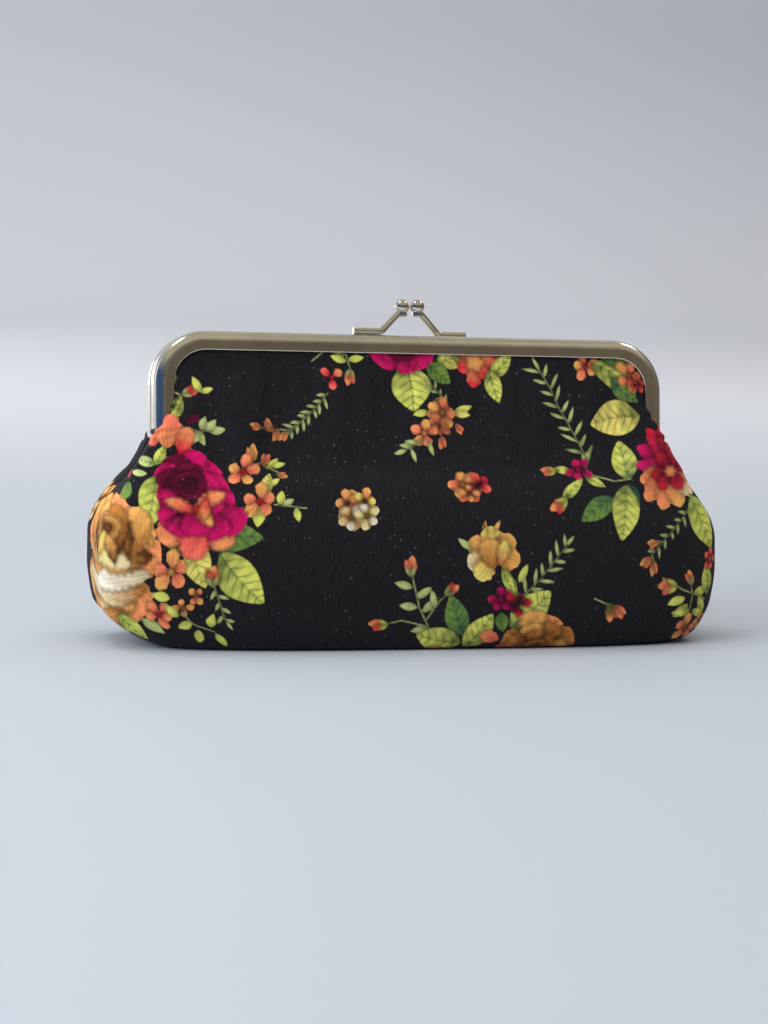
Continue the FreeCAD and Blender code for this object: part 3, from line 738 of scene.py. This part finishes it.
def lower_middle(p):
    """The yellow flower, frond, buds and leaves along the lower edge of the front."""
    p.frond([(26, 76), (33, 69.5), (40.5, 61)], 5.2, 1.15, PALE, GREEN, 6, 0.85, 46)
    p.stroke([(22, 67), (25, 71), (26, 77)], 0.7, LIME)
    p.leaf(21, 67, -62, 9, 3, LIME, GREEN)
    p.leaf(26, 71, 62, 6, 2.2, LIME, GREEN)
    for angle, inner, outer in (
        (150, ORANGE, AMBER), (95, ORANGE, YELLOW), (40, BROWN, AMBER),
        (-10, TAN, AMBER), (200, AMBER, CREAM), (235, AMBER, YELLOW),
    ):
        p.petal(18.5, 63.5, angle, 8.2, 6.4, inner, outer, 1.3, 0.5)
    p.petal(18.5, 67, 100, 8.5, 6.8, TAN, AMBER, 1.2, 0.5)
    p.petal(20.5, 66, 75, 7, 3.6, ORANGE, YELLOW, 1.2, 0.5)
    p.stroke([(15.5, 56), (16.5, 54), (17, 57)], 0.5, AMBER)
    p.leaf(12, 62, 140, 5, 2, PALE, GREEN)
    p.leaf(19, 57, 60, 4, 1.4, AMBER, TAN)
    p.stroke([(1, 86), (-3, 78), (-5.5, 68)], 0.55, PALE)
    p.bud(-5.5, 69.5, 95, 6, WARM_BUD, (PALE, GREEN))
    for x, y, angle in ((-5, 72.5, 165), (-4, 75.5, 35), (-3.5, 78, 172), (-2, 79.5, 45), (0, 84, 190)):
        p.leaf(x, y, angle, 5.6, 2.3, PALE, MOSS)
    p.stroke([(-1, 82), (3, 76), (6.5, 73)], 0.55, PALE)
    p.bud(4.5, 74.5, 42, 5, (CRIMSON, ORANGE), (PALE, GREEN))
    p.leaf(1.5, 78, 100, 5, 2.2, PALE, MOSS)
    p.stroke([(-1, 83.5), (-8, 81.5), (-13, 82.5)], 0.55, PALE)
    p.bud(-12, 82.5, 186, 6, (CRIMSON, ORANGE), (LIME, GREEN))
    p.leaf(10, 86.5, 108, 13, 7, GREEN, TEAL, veins=5)
    p.leaf(10, 89, 168, 14, 9, LIME, MOSS, bend=0.6, veins=6)
    p.leaf(11, 91, 56, 14, 7.5, LIME, MOSS, veins=6)
    p.leaf(24, 84, 42, 16, 9.5, LIME, TEAL, veins=6)
    p.leaf(21, 79, -82, 6.5, 4, GREEN, MOSS)
    p.blossom(20.8, 75.5, 7, [(PLUM, MAGENTA)], MAGENTA, 5, 30)
    p.blossom(26, 76.8, 7, [(WINE, CRIMSON), (WINE, PLUM)], PLUM, 5, 0)
    brown = (BROWN, TAN)
    outer = [brown, (BROWN, ORANGE), (TAN, AMBER), brown, (BROWN, SALMON), brown, (ORANGE, TAN), brown]
    rings = [(1.0, 0.74, outer), (0.76, 0.6, [brown, (TAN, AMBER)] * 3), (0.5, 0.5, [brown] * 4)]
    p.rose(32.5, 91, 12.0, rings, (TAN, BROWN), 20)
    p.petal(21, 88, 160, 6, 4.5, SALMON, ORANGE, 1.2, 0.5)
    p.blossom(2, 95, 11, [(CRIMSON, SALMON), (SALMON, ORANGE)], AMBER, 5, 15)


def right_window(p):
    """The long frond, leaves and flowers below the frame's right corner."""
    points = [(50, 36), (45.5, 26), (41, 17), (37, 9.5)]
    p.frond(points, 5.4, 1.15, PALE, GREEN, 8, 0.95, 50)
    p.blossom(51, 8, 8, ORANGE_BLOOM, CRIMSON, 5, 100)
    p.leaf(53, 7, -38, 17, 8, LIME, MOSS, bend=1.8, veins=6)
    p.leaf(59, 11, -42, 11, 5, GREEN, TEAL, bend=-1)
    p.leaf(56, 5.5, -6, 10, 4.5, GREEN, MOSS)
    p.blossom(64.5, 10.5, 9, [(SALMON, ORANGE), (ORANGE, AMBER)], TAN, 5, 70)
    p.blossom(67, 13, 5.5, [(CRIMSON, SALMON)], MAGENTA, 5, 20)
    p.leaf(67, 22.5, 188, 16, 10.5, YELLOW, MOSS, bend=-0.8, veins=7)
    p.leaf(61.5, 41.5, 98, 12.5, 7.5, LIME, TEAL, veins=5)


def right_field(p):
    """Buds and leaves right of the middle, and the flower that turns round the right end."""
    p.stroke([(62, 41), (57, 42), (50, 40)], 0.6, PALE)
    p.leaf(44, 39, 170, 5.5, 2.6, LIME, GREEN)
    p.leaf(48, 40.5, -30, 7, 3, LIME, GREEN)
    p.leaf(48, 37, 60, 6.5, 1.8, PALE, GREEN)
    p.leaf(49, 38, 100, 5, 1.4, PALE, GREEN)
    p.blossom(46.5, 38.5, 7.6, [(PLUM, MAGENTA), (MAGENTA, MAGENTA)], MAGENTA, 5, 45)
    p.bud(39.5, 38.8, 180, 5, WARM_BUD, (LIME, GREEN))
    p.leaf(40, 48, 42, 10, 3.4, LIME, GREEN)
    p.bud(41.5, 47.5, 220, 6.5, (CRIMSON, ORANGE), (LIME, GREEN))
    p.leaf(56, 47, 214, 13, 6.2, GREEN, TEAL, veins=5)
    p.leaf(61, 42.5, -68, 8, 4, TEAL, DEEP)
    p.leaf(60.5, 43, -100, 17, 8.6, LIME, MOSS, bend=0.5, veins=7)
    rays = (
        (150, 13, 5.5, PLUM, MAGENTA), (175, 12, 5, MAGENTA, MAGENTA), (122, 14, 5.5, MAGENTA, CRIMSON),
        (98, 15, 6, PLUM, CRIMSON), (72, 14, 6, CRIMSON, SALMON), (40, 12, 6, CRIMSON, ORANGE),
        (200, 12, 6, CRIMSON, ORANGE), (225, 14, 7, SALMON, ORANGE), (252, 14, 7, SALMON, ORANGE),
        (280, 13, 7.5, SALMON, AMBER), (310, 12, 7, SALMON, CREAM), (345, 11, 7, SALMON, ORANGE),
    )
    for angle, length, width, inner, outer in rays:
        p.petal(76, 38, angle, length, width, inner, outer, 1.2, 0.6)
    for angle in (30, 80, 130, 190, 235, 300):
        p.petal(76, 39, angle, 7.5, 4.6, PLUM, CRIMSON, 1.2, 0.6)
    p.disc(76, 39, 2.0, AMBER, SALMON, 6)
    p.leaf(82.5, 47.5, -68, 17, 8, LIME, GREEN, veins=6)
    p.frond([(81, 51.5), (74, 58), (67, 64)], 3.2, 1.0, PALE, GREEN, 6)
    p.bud(69.5, 60.5, 185, 4, (SALMON, AMBER), None)
    p.bud(67, 64.5, 215, 4.5, (SALMON, AMBER), None)
    p.bud(68, 65.5, 265, 4.5, (SALMON, AMBER), None)
    p.stroke([(71, 70.5), (78, 74), (86, 77)], 0.55, PALE)
    p.stroke([(80, 69), (80.5, 76), (79, 84)], 0.55, PALE)
    p.bud(76, 72.5, 190, 7, WARM_BUD, (LIME, GREEN))
    p.bud(80.5, 72.5, 105, 4.4, WARM_BUD, (PALE, GREEN))
    spray = ((78, 76, 200), (79, 78, 225), (81, 75, 10), (83, 76, -60), (80, 80, 190), (81, 80, -20))
    for x, y, angle in spray:
        p.leaf(x, y, angle, 6, 2.8, LIME, MOSS)
    p.leaf(87, 76, 95, 9, 5, LIME, MOSS)
    p.blossom(88, 66, 6, [(CRIMSON, SALMON)], AMBER, 5, 0)
    p.blossom(80, 86, 9, ORANGE_BLOOM, TAN, 5, 10)
    p.blossom(86, 84, 6, [(ORANGE, AMBER)], TAN, 5, 40)
    p.stroke([(49, 75.5), (53.5, 77.5)], 0.5, CREAM)
    p.leaf(53, 77.5, -20, 3.6, 1.6, GREEN, DEEP)
    p.bud(54, 77, -80, 6, (TAN, ORANGE), (GREEN, MOSS))
    p.bud(56, 77.5, -58, 5, (ORANGE, SALMON), None)


def underside(p):
    """Motifs that lie under the purse."""
    magenta = (PLUM, MAGENTA)
    rings = [(1.0, 0.8, [magenta, (WINE, CRIMSON)] * 4), (0.7, 0.6, [magenta] * 5)]
    p.leaf(-40, 103, 200, 13, 7)
    p.leaf(-30, 103, -20, 13, 7)
    p.rose(-35, 103, 9, rings, (PLUM, WINE), 0)
    p.frond([(-22, 101), (-12, 104), (-4, 108)], 4, 1.3)
    p.blossom(58, 99, 9, YELLOW_BLOOM, TAN)
    p.leaf(62, 103, -20, 10, 5)
    p.frond([(52, 100), (44, 104), (38, 108)], 4, 1.3)


def paint(sheet):
    for part in (
        left_window, middle, right_window, left_field, lower_middle, right_field, left_end, underside,
    ):
        part(sheet)


BACK_SHIFT = 71.0  # where the back panel was cut from the cloth, along the print's repeat
REPEAT = 217.0
PRINT_START = -112.0  # left end of one repeat, clear of the motifs


def continued(front, back):
    """The front panel's cloth coordinates, run on over the side seams across the back panel."""
    front_grid, front_across, front_down = front
    back_grid, across, _ = back
    falls = -front_grid[:, -1, 2]
    at = -back_grid[:, -1, 2]
    edge = np.interp(at, falls, front_across[:, -1])[:, None]
    drop = np.interp(at, falls, front_down[:, -1])[:, None]
    past = across.max(axis=1, keepdims=True) - np.abs(across)
    return (np.sign(across) * (edge + past)).ravel(), (drop + 0 * past).ravel()


def printed(panels, label):
    """The print of a panel. The back is cut elsewhere from the cloth; the front's ends run on over it."""
    _, across, down = panels[label]
    sheet = Print(across.ravel(), down.ravel())
    if label == "front":
        paint(sheet)
        return sheet
    sheet.across = (sheet.across + BACK_SHIFT - PRINT_START) % REPEAT + PRINT_START
    paint(sheet)
    sheet.across, sheet.down = continued(panels["front"], panels["back"])
    right_field(sheet)
    left_end(sheet)
    return sheet


# ---------------------------------------------------------------- materials


class Nodes:
    """Short calls for building a material's node tree."""

    def __init__(self, name):
        self.material = bpy.data.materials.new(name)
        self.material.use_nodes = True
        self.tree = self.material.node_tree
        self.shader = self.tree.nodes["Principled BSDF"]

    def link(self, value, socket):
        if isinstance(value, bpy.types.NodeSocket):
            self.tree.links.new(value, socket)
        else:
            socket.default_value = value

    def add(self, kind, **settings):
        node = self.tree.nodes.new(kind)
        for key, value in settings.items():
            setattr(node, key, value)
        return node

    def math(self, operation, first, second=0.0, third=0.0):
        node = self.add("ShaderNodeMath", operation=operation)
        for socket, value in zip(node.inputs, (first, second, third)):
            self.link(value, socket)
        return node.outputs[0]

    def mix(self, share, first, second, blend="MIX"):
        node = self.add("ShaderNodeMix", data_type="RGBA", blend_type=blend)
        self.link(share, node.inputs["Factor"])
        self.link(first, node.inputs[6])
        self.link(second, node.inputs[7])
        return node.outputs[2]

    def ramp(self, value, low, high, to_low=0.0, to_high=1.0):
        node = self.add("ShaderNodeMapRange", interpolation_type="SMOOTHSTEP")
        for socket, number in zip(node.inputs, (value, low, high, to_low, to_high)):
            self.link(number, socket)
        return node.outputs[0]

    def noise(self, vector, scale, detail=2.0, roughness=0.5):
        node = self.add("ShaderNodeTexNoise")
        self.link(vector, node.inputs["Vector"])
        self.link(scale, node.inputs["Scale"])
        self.link(detail, node.inputs["Detail"])
        self.link(roughness, node.inputs["Roughness"])
        return node.outputs["Fac"]

    def attribute(self, name, output):
        return self.add("ShaderNodeAttribute", attribute_name=name).outputs[output]

    def stretch(self, vector, scale):
        node = self.add("ShaderNodeVectorMath", operation="MULTIPLY")
        self.link(vector, node.inputs[0])
        self.link(scale, node.inputs[1])
        return node.outputs[0]

    def bump(self, height, distance, strength=1.0):
        node = self.add("ShaderNodeBump")
        self.link(height, node.inputs["Height"])
        self.link(distance, node.inputs["Distance"])
        self.link(strength, node.inputs["Strength"])
        self.link(node.outputs[0], self.shader.inputs["Normal"])

    def set(self, **values):
        for key, value in values.items():
            self.link(value, self.shader.inputs[key.replace("_", " ")])


def weave(nodes, across, down, wander):
    """Height of a plain weave with strong upright ribs. Threads are counted per millimetre."""
    cloth = nodes.attribute("cloth", "Vector")
    drift = nodes.noise(nodes.stretch(cloth, (0.9, 0.12, 1)), 1.0, 3.0)
    split = nodes.add("ShaderNodeSeparateXYZ")
    nodes.link(cloth, split.inputs[0])
    x = nodes.math("MULTIPLY_ADD", drift, wander, split.outputs[0])
    rib = nodes.math("SINE", nodes.math("MULTIPLY", x, 2 * math.pi * across))
    thread = nodes.math("SINE", nodes.math("MULTIPLY", split.outputs[1], 2 * math.pi * down))
    crossed = nodes.math("MULTIPLY", rib, thread)
    return cloth, nodes.math("MULTIPLY_ADD", crossed, 0.45, nodes.math("MULTIPLY", rib, 0.55))


def canvas_material():
    """Ribbed black cotton canvas, printed, with slubs and pale lint."""
    nodes = Nodes("printed_canvas")
    cloth, height = weave(nodes, 2.3, 2.6, 0.5)
    slub = nodes.noise(nodes.stretch(cloth, (2.6, 0.35, 1)), 1.0, 4.0, 0.6)
    fuzz = nodes.noise(nodes.stretch(cloth, (1, 1, 1)), 5.0, 3.0, 0.7)
    ground = nodes.mix(nodes.ramp(slub, 0.25, 0.75), (0.0045, 0.0042, 0.0056, 1), (0.016, 0.0152, 0.019, 1))
    ground = nodes.mix(nodes.ramp(fuzz, 0.54, 0.74), ground, (0.05, 0.05, 0.058, 1))
    ink = nodes.attribute("ink", "Color")
    strokes = nodes.add("ShaderNodeSeparateXYZ")
    nodes.link(nodes.attribute("strokes", "Vector"), strokes.inputs[0])
    phase, strength = strokes.outputs[:2]
    cover = nodes.attribute("cover", "Fac")
    bent = nodes.math("MULTIPLY_ADD", nodes.noise(cloth, 0.35, 2.0), 0.6, phase)
    line = nodes.math("SINE", nodes.math("MULTIPLY", bent, 2 * math.pi))
    line = nodes.math("MULTIPLY", nodes.ramp(line, 0.3, 0.95), strength)
    drawn = nodes.math("MULTIPLY_ADD", line, -0.42, nodes.ramp(cover, 0.0, 0.5, 0.6, 1.0))
    # Painted shade: the ink is darker in the weave's grooves, set by the weave's height; the slubs add real
    # uneven tone to it.
    groove_shade_and_slub = nodes.math("MULTIPLY_ADD", height, 0.12, nodes.math("MULTIPLY_ADD", slub, 0.3, 0.85))
    groove_shade_and_slub = nodes.math("MULTIPLY", groove_shade_and_slub, nodes.math("MAXIMUM", drawn, 0.12))
    shade = nodes.add("ShaderNodeCombineColor")
    for socket in shade.inputs[:3]:
        nodes.link(groove_shade_and_slub, socket)
    ink = nodes.mix(1.0, ink, shade.outputs[0], "MULTIPLY")
    ragged = nodes.math("MULTIPLY_ADD", fuzz, 0.3, cover)
    colour = nodes.mix(nodes.ramp(ragged, 0.03, 0.3), ground, ink)
    specks = nodes.add("ShaderNodeTexVoronoi", feature="F1")
    nodes.link(cloth, specks.inputs["Vector"])
    nodes.link(0.7, specks.inputs["Scale"])
    chance = nodes.add("ShaderNodeSeparateColor")
    nodes.link(specks.outputs["Color"], chance.inputs[0])
    size = nodes.ramp(chance.outputs[0], 0.45, 1.0, 0.0, 0.15)
    lint = nodes.math("LESS_THAN", specks.outputs["Distance"], size)
    colour = nodes.mix(nodes.math("MULTIPLY", lint, 0.4), colour, (0.3, 0.3, 0.29, 1))
    nodes.set(Base_Color=colour, Roughness=0.85, Specular_IOR_Level=0.2)
    nodes.set(Sheen_Weight=0.05, Sheen_Roughness=0.5, Sheen_Tint=(0.9, 0.92, 1, 1))
    nodes.bump(nodes.math("MULTIPLY_ADD", fuzz, 0.7, height), 0.05 * MM, 0.7)
    return nodes.material


def lining_material():
    """Deep blue plain-woven cotton."""
    nodes = Nodes("lining_cotton")
    cloth, height = weave(nodes, 2.8, 2.8, 0.2)
    slub = nodes.noise(cloth, 1.3, 4.0, 0.6)
    colour = nodes.mix(slub, (0.018, 0.035, 0.095, 1), (0.035, 0.062, 0.15, 1))
    nodes.set(Base_Color=colour, Roughness=0.82, Specular_IOR_Level=0.3, Sheen_Weight=0.2)
    nodes.bump(height, 0.04 * MM, 0.6)
    return nodes.material


def wadding_material():
    """White needled batting."""
    nodes = Nodes("wadding")
    cloth = nodes.attribute("cloth", "Vector")
    tangle = nodes.noise(cloth, 2.0, 6.0, 0.75)
    colour = nodes.mix(tangle, (0.62, 0.61, 0.57, 1), (0.86, 0.85, 0.82, 1))
    nodes.set(Base_Color=colour, Roughness=0.95, Sheen_Weight=0.3)
    nodes.bump(tangle, 0.3 * MM, 0.8)
    return nodes.material


def metal_material(name, colour, rough, scratch):
    """Plated steel: faint waves from the bending, fine rubbing marks and slightly clouded plate."""
    nodes = Nodes(name)
    place = nodes.add("ShaderNodeTexCoord").outputs["Object"]
    cloud = nodes.noise(place, 90.0, 4.0, 0.6)
    marks = nodes.noise(nodes.stretch(place, (150, 1800, 1800)), 1.0, 3.0, 0.6)
    dull = tuple(0.86 * part for part in colour) + (1,)
    nodes.set(Base_Color=nodes.mix(nodes.ramp(cloud, 0.3, 0.75), dull, colour + (1,)), Metallic=1.0)
    spread = nodes.math("MULTIPLY_ADD", cloud, 0.10, rough)
    nodes.set(Roughness=nodes.math("MULTIPLY_ADD", marks, scratch, spread))
    wave = nodes.noise(place, 160.0, 2.0)
    nodes.bump(nodes.math("MULTIPLY_ADD", marks, 0.03, wave), 0.25 * MM, 0.25)
    return nodes.material


def twine_material():
    """Kraft paper twisted into a cord."""
    nodes = Nodes("paper_twine")
    place = nodes.add("ShaderNodeTexCoord").outputs["Object"]
    split = nodes.add("ShaderNodeSeparateXYZ")
    nodes.link(place, split.inputs[0])
    slant = nodes.math("ADD", nodes.math("ADD", split.outputs[0], split.outputs[1]), split.outputs[2])
    turns = nodes.math("SINE", nodes.math("MULTIPLY", slant, 2 * math.pi / (1.3 * MM)))
    grain = nodes.noise(place, 900.0, 5.0, 0.7)
    tone = nodes.math("MULTIPLY_ADD", turns, 0.2, grain)
    colour = nodes.mix(nodes.ramp(tone, 0.2, 0.9), (0.33, 0.22, 0.11, 1), (0.62, 0.48, 0.3, 1))
    nodes.set(Base_Color=colour, Roughness=0.9)
    nodes.bump(nodes.math("MULTIPLY_ADD", grain, 0.4, turns), 0.15 * MM, 0.8)
    return nodes.material


# ---------------------------------------------------------------- set, light


def add_stage():
    """A pale sheet of paper that lies on the table and curves up far behind the purse, with painted shade:
    darker in front and dark grey off to the right.
    """
    depth, rise, bend = 1.5, 1.6, 0.25
    profile = [(-1.5, 0.0), (depth - bend, 0.0)]
    for step in range(1, 13):
        angle = step / 12 * math.pi / 2
        profile.append((depth - bend + bend * math.sin(angle), bend - bend * math.cos(angle)))
    profile.append((depth, rise))
    points = [(x, y, z) for y, z in profile for x in (-2.2, 2.2)]
    faces = [(2 * i, 2 * i + 1, 2 * i + 3, 2 * i + 2) for i in range(len(profile) - 1)]
    sweep = new_mesh("backdrop", np.array(points) / MM, np.array(faces))
    nodes = Nodes("backdrop")
    place = nodes.add("ShaderNodeTexCoord").outputs["Object"]
    split = nodes.add("ShaderNodeSeparateXYZ")
    nodes.link(place, split.inputs[0])
    x, y = split.outputs[:2]
    cloud = nodes.noise(place, 3.0, 3.0)
    # Painted shade: the paper is darker near the purse and paler far behind it.
    near = nodes.mix(cloud, (0.435, 0.475, 0.545, 1), (0.46, 0.50, 0.565, 1))
    far = nodes.mix(cloud, (0.67, 0.69, 0.76, 1), (0.70, 0.72, 0.79, 1))
    colour = nodes.mix(nodes.ramp(y, 0.15, 0.75), near, far)
    # Painted shade: the paper turns dark grey off to the right of the purse, less so further back.
    shade_to_right = nodes.math("MULTIPLY_ADD", y, -0.5, x)
    colour = nodes.mix(nodes.ramp(shade_to_right, 0.20, 0.75), colour, (0.16, 0.18, 0.20, 1))
    nodes.set(Base_Color=colour, Roughness=0.8, Specular_IOR_Level=0.2)
    sweep.data.materials.append(nodes.material)


def add_area(name, place, target, size, power, colour, seen=True):
    """A soft lamp; one that is not seen lights the scene but leaves no mark on the metal."""
    data = bpy.data.lights.new(name, "AREA")
    data.shape = "RECTANGLE"
    data.size, data.size_y = size
    data.energy = power
    data.color = colour
    light = bpy.data.objects.new(name, data)
    bpy.context.scene.collection.objects.link(light)
    light.location = place
    light.rotation_euler = (Vector(target) - Vector(place)).to_track_quat("-Z", "Y").to_euler()
    light.visible_glossy = seen
    light.visible_camera = False


def add_world():
    """Soft room light: dim and warm in front, blue to the left, olive above, bright behind."""
    world = bpy.data.worlds.new("room")
    bpy.context.scene.world = world
    world.use_nodes = True
    tree = world.node_tree
    background = tree.nodes["Background"]
    place = tree.nodes.new("ShaderNodeTexCoord")
    split = tree.nodes.new("ShaderNodeSeparateXYZ")
    tree.links.new(place.outputs["Generated"], split.inputs[0])

    def blend(socket, low, high, first, second):
        share = tree.nodes.new("ShaderNodeMapRange")
        share.interpolation_type = "SMOOTHSTEP"
        tree.links.new(socket, share.inputs[0])
        share.inputs[1].default_value = low
        share.inputs[2].default_value = high
        mix = tree.nodes.new("ShaderNodeMix")
        mix.data_type = "RGBA"
        tree.links.new(share.outputs[0], mix.inputs[0])
        for value, socket_in in ((first, mix.inputs[6]), (second, mix.inputs[7])):
            if isinstance(value, bpy.types.NodeSocket):
                tree.links.new(value, socket_in)
            else:
                socket_in.default_value = value
        return mix.outputs[2]

    cloud = tree.nodes.new("ShaderNodeTexNoise")
    cloud.inputs["Scale"].default_value = 5.0
    tree.links.new(place.outputs["Generated"], cloud.inputs["Vector"])
    room = blend(cloud.outputs["Fac"], 0.35, 0.65, (0.10, 0.08, 0.06, 1), (0.20, 0.17, 0.135, 1))
    behind = blend(split.outputs[1], 0.0, 0.35, room, (0.16, 0.19, 0.20, 1))
    left = blend(split.outputs[0], -0.35, -0.10, (0.025, 0.075, 0.20, 1), behind)
    far_left = blend(split.outputs[1], 0.10, 0.30, left, (0.9, 0.93, 1.0, 1))
    leftward = blend(split.outputs[0], -0.3, 0.0, far_left, behind)
    olive = blend(cloud.outputs["Fac"], 0.4, 0.6, (0.33, 0.31, 0.24, 1), (0.50, 0.47, 0.38, 1))
    above = blend(split.outputs[2], 0.35, 0.7, leftward, olive)
    tree.links.new(above, background.inputs[0])
    background.inputs[1].default_value = 1.0


def add_lights():
    add_world()
    daylight = (0.96, 0.98, 1.0)
    add_area("window", (-0.9, -0.35, 0.5), (0.05, 0.05, 0.03), (0.6, 0.6), 9.0, daylight, seen=False)
    add_area("ceiling", (-0.2, 0.5, 1.6), (-0.2, 0.5, 0), (3.0, 3.0), 30.0, (1.0, 1.0, 1.0), seen=False)
    add_area("lamp_left", (-0.42, 0.22, 0.95), (-0.07, 0, 0.08), (0.2, 0.2), 1.1, (1, 1, 0.97))
    add_area("lamp_right", (0.62, 0.30, 0.75), (0.07, 0, 0.08), (0.2, 0.2), 0.9, (1, 1, 0.97))
    add_area("lamp_low", (-0.40, 0.95, 0.03), (0, 0, 0.07), (0.5, 0.3), 1.2, (1, 1, 1))


# ---------------------------------------------------------------- the purse


def build():
    canvas = canvas_material()
    lining = lining_material()
    wadding = wadding_material()
    columns, rows = ((226, 210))
    sides = {"front": FRONT, "back": BACK}
    panels = {label: settled_panel(side, columns, rows) for label, side in sides.items()}
    for label, side in sides.items():
        panel = panels[label]
        sheet = sheet_piece(f"outer_{label}", side, panel)
        flowers = printed(panels, label)
        set_attribute(sheet, "ink", "FLOAT_COLOR", np.c_[flowers.ink, np.ones(len(flowers.ink))])
        set_attribute(sheet, "cover", "FLOAT", flowers.cover)
        set_attribute(sheet, "strokes", "FLOAT_VECTOR", flowers.strokes)
        nodes = (f"outer_{label}_lower", f"outer_{label}_upper")
        join_to_frame(sheet, side, canvas, "printed_canvas", *nodes)
        soft = shell_piece(f"wadding_{label}", side, panel, WADDING, margin=WADDING_MARGIN)
        nodes = (f"wadding_{label}_lower", f"wadding_{label}_upper")
        join_to_frame(soft, side, wadding, "wadding", *nodes)
        inside = shell_piece(f"lining_{label}", side, panel, LINING, step=2)
        nodes = (f"lining_{label}_lower", f"lining_{label}_upper")
        join_to_frame(inside, side, lining, "lining_cotton", *nodes)


def finish_metal():
    plate = metal_material("frame_metal", (0.88, 0.83, 0.72), 0.11, 0.08)
    polish = metal_material("clasp_metal", (0.86, 0.80, 0.68), 0.09, 0.04)
    steel = metal_material("rivet_steel", (0.80, 0.77, 0.70), 0.2, 0.1)
    twine = twine_material()
    for name, node in frame["nodes"].items():
        if name.endswith("_frame"):
            node.material_slots[0].material = plate
        elif "clasp" in name:
            node.material_slots[0].material = polish
        elif "rivet" in name:
            node.material_slots[0].material = steel
        elif "twine" in name:
            node.material_slots[0].material = twine


bpy.context.scene.view_settings.view_transform = "Standard"
add_camera()
build()
finish_metal()
add_stage()
add_lights()
